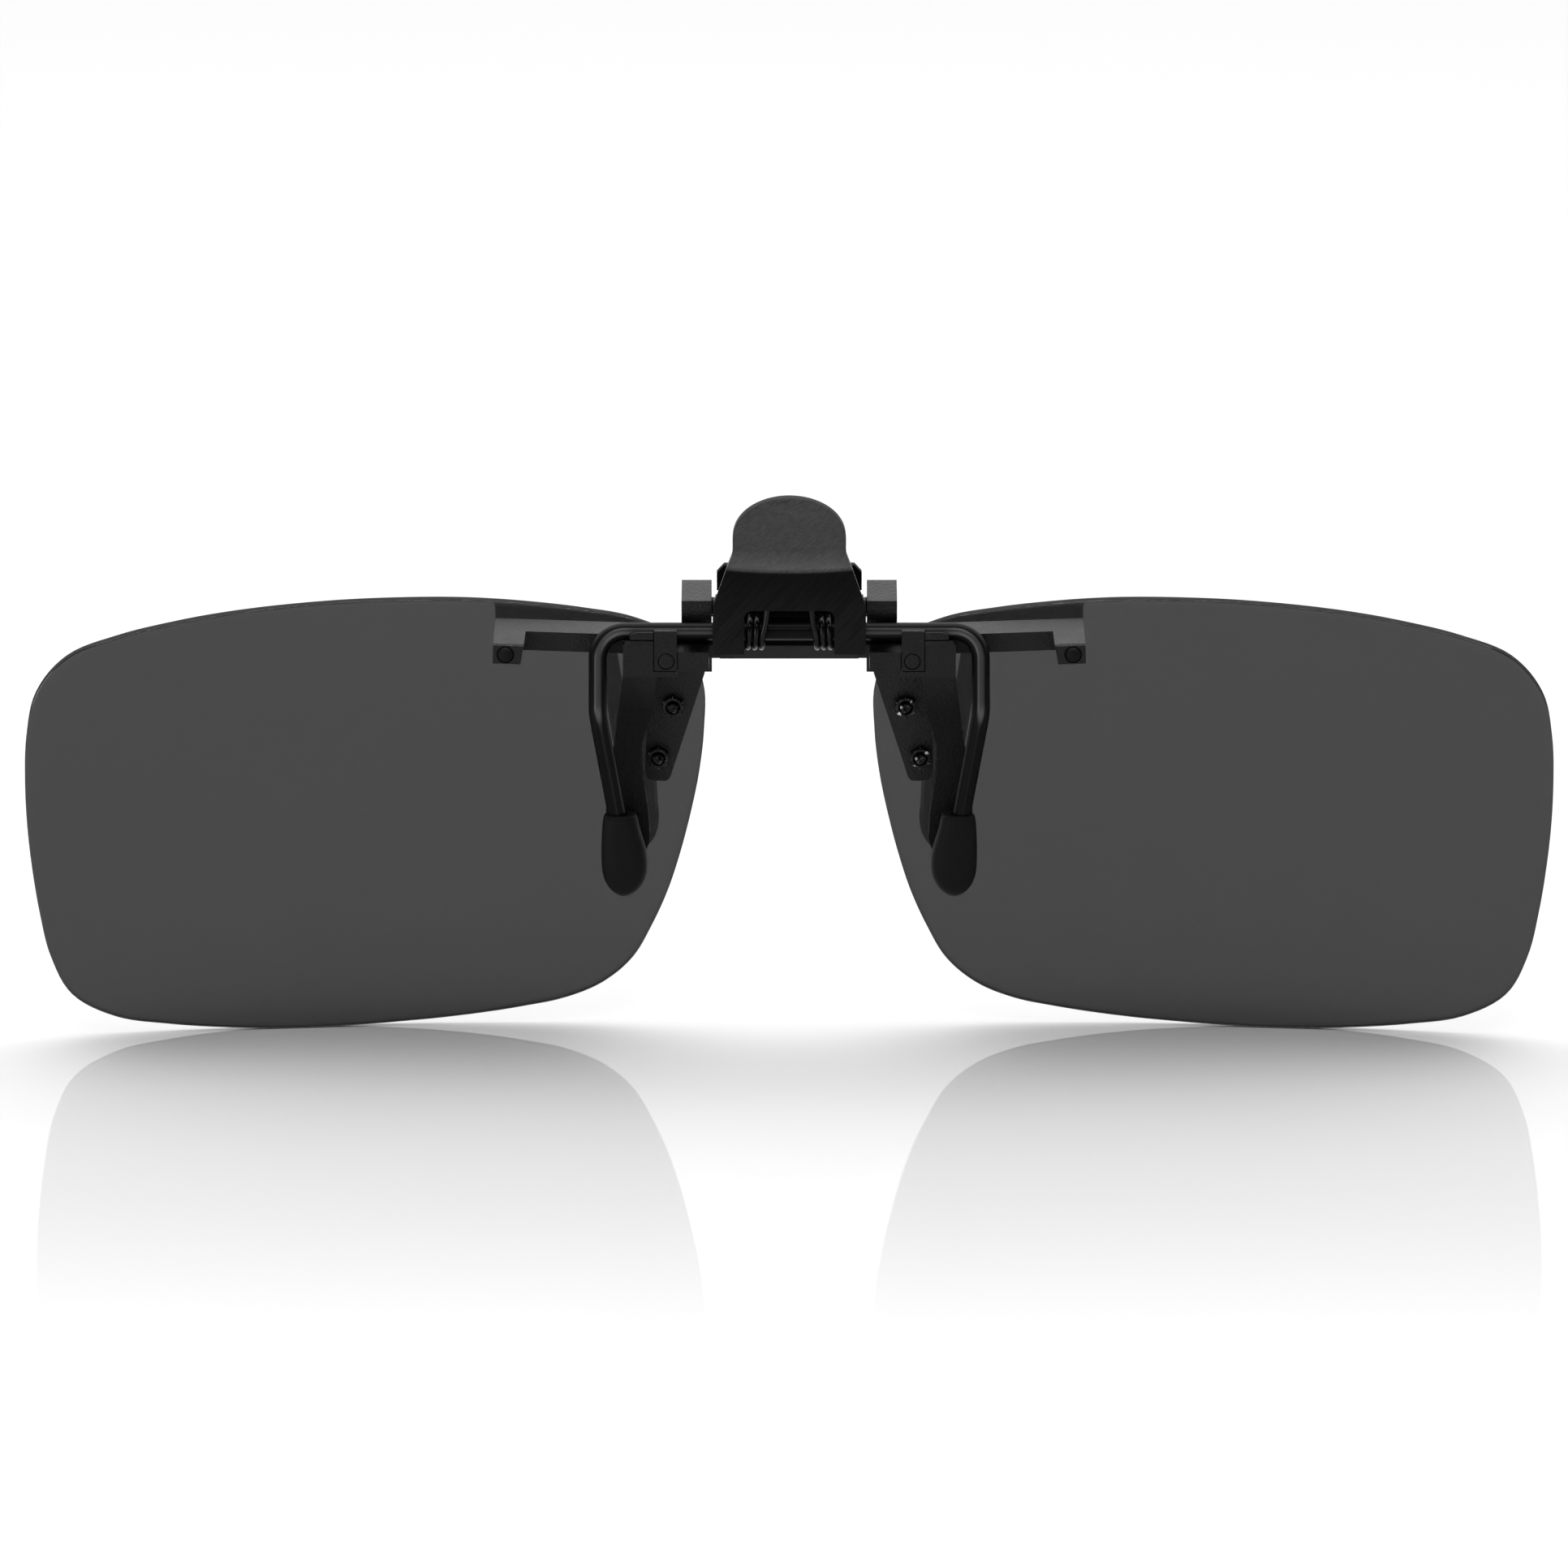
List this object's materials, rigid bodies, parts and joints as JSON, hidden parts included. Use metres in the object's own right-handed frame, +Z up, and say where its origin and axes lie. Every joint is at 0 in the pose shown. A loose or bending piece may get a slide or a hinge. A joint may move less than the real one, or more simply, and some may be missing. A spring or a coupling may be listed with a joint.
{
  "type": "flip-up clip-on sunglasses",
  "caption": "Rimless tinted lenses on a small spring clip with rubber-tipped wire hooks; a thumb lever opens the hooks and the lenses flip up on a hinge.",
  "frame": {"origin": "middle of the hook wire's axis, the line the squeeze lever turns on, half way between the two hooks", "axes": "+X along the hinge wire, across the face; +Z up; -Y towards the wearer, +Y away from the wearer"},
  "size_m": [0.1372, 0.0159, 0.0524],
  "materials": {
    "body_black": "fine-grained black moulding, satin, roughness 0.45",
    "lever_black": "satin black coated sheet with faint brushing",
    "wire_black": "glossy black coated spring wire",
    "rubber_black": "matt black soft rubber",
    "fastener_black": "black oxide steel, low sheen",
    "lens_tint": "polished dark grey tinted optical plastic, about 3 per cent clear"
  },
  "bodies": {
    "clip_base": {"base_bridge": "body_black", "side_body_left": "body_black", "side_body_right": "body_black", "foot_pad_left": "rubber_black", "foot_pad_right": "rubber_black", "body_stake_left": "fastener_black", "body_stake_right": "fastener_black", "wire_retainer_left": "body_black", "wire_retainer_right": "body_black", "flip_pin": "fastener_black", "friction_washer_left": "fastener_black", "friction_washer_right": "fastener_black", "torsion_spring": "fastener_black"},
    "squeeze_lever": {"thumb_lever": "lever_black", "hook_wire": "wire_black", "rubber_tip_left": "rubber_black", "rubber_tip_right": "rubber_black"},
    "flip_lenses": {"lens_bracket_left": "body_black", "lens_bracket_right": "body_black", "joining_bar": "lever_black", "bar_rivet_left": "fastener_black", "bar_rivet_right": "fastener_black", "lens_left": "lens_tint", "lens_right": "lens_tint", "lens_screw_upper_left": "fastener_black", "lens_screw_upper_right": "fastener_black", "lens_screw_lower_left": "fastener_black", "lens_screw_lower_right": "fastener_black", "lens_nut_upper_left": "fastener_black", "lens_nut_upper_right": "fastener_black", "lens_nut_lower_left": "fastener_black", "lens_nut_lower_right": "fastener_black", "lens_washer_upper_left": "rubber_black", "lens_washer_upper_right": "rubber_black", "lens_washer_lower_left": "rubber_black", "lens_washer_lower_right": "rubber_black"}
  },
  "joints": [
    {"name": "clip_squeeze", "type": "hinge", "parent": "clip_base", "child": "squeeze_lever", "pos_m": [0, 0, 0], "axis": [-1, 0, 0], "range_deg": [0, 25], "stiffness_Nm_per_rad": 0.03, "springref_deg": -34.38, "deforming": ["torsion_spring"]},
    {"name": "lens_flip", "type": "hinge", "parent": "clip_base", "child": "flip_lenses", "pos_m": [0, 0.003, 0.0016], "axis": [1, 0, 0], "range_deg": [0, 90]}
  ]
}
